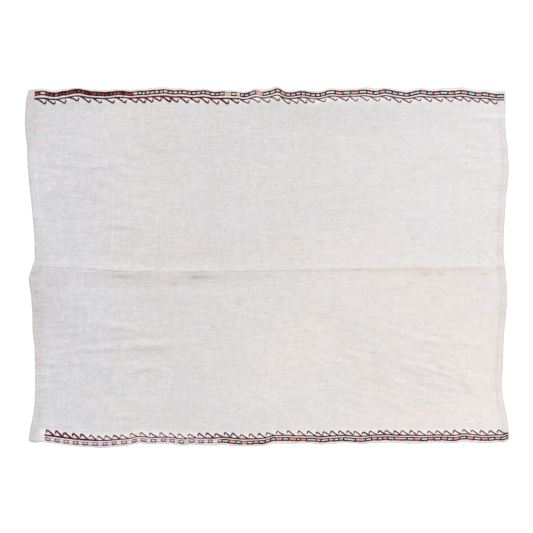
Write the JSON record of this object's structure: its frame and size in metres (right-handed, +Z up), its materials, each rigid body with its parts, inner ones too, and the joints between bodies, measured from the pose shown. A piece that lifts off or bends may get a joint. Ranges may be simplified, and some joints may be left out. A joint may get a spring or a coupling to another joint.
{
  "type": "hemp kilim rug",
  "caption": "Flat off-white hemp kilim rug: strips sewn side by side, hemmed ends and a narrow hook-and-chain border along each long edge. It lies on a floor.",
  "frame": {"origin": "on the floor, under the middle of the rug's outline", "axes": "+X along the strips and the seam, +Y across them towards the upper strip, +Z up from the floor"},
  "size_m": [1.9588, 1.4638, 0.0085],
  "materials": {
    "hemp_cloth": "undyed bleached hand-spun hemp, flat plain weave, matt with slubs"
  },
  "bodies": {
    "root": {"panel_upper": "hemp_cloth", "panel_lower": "hemp_cloth"}
  },
  "joints": []
}
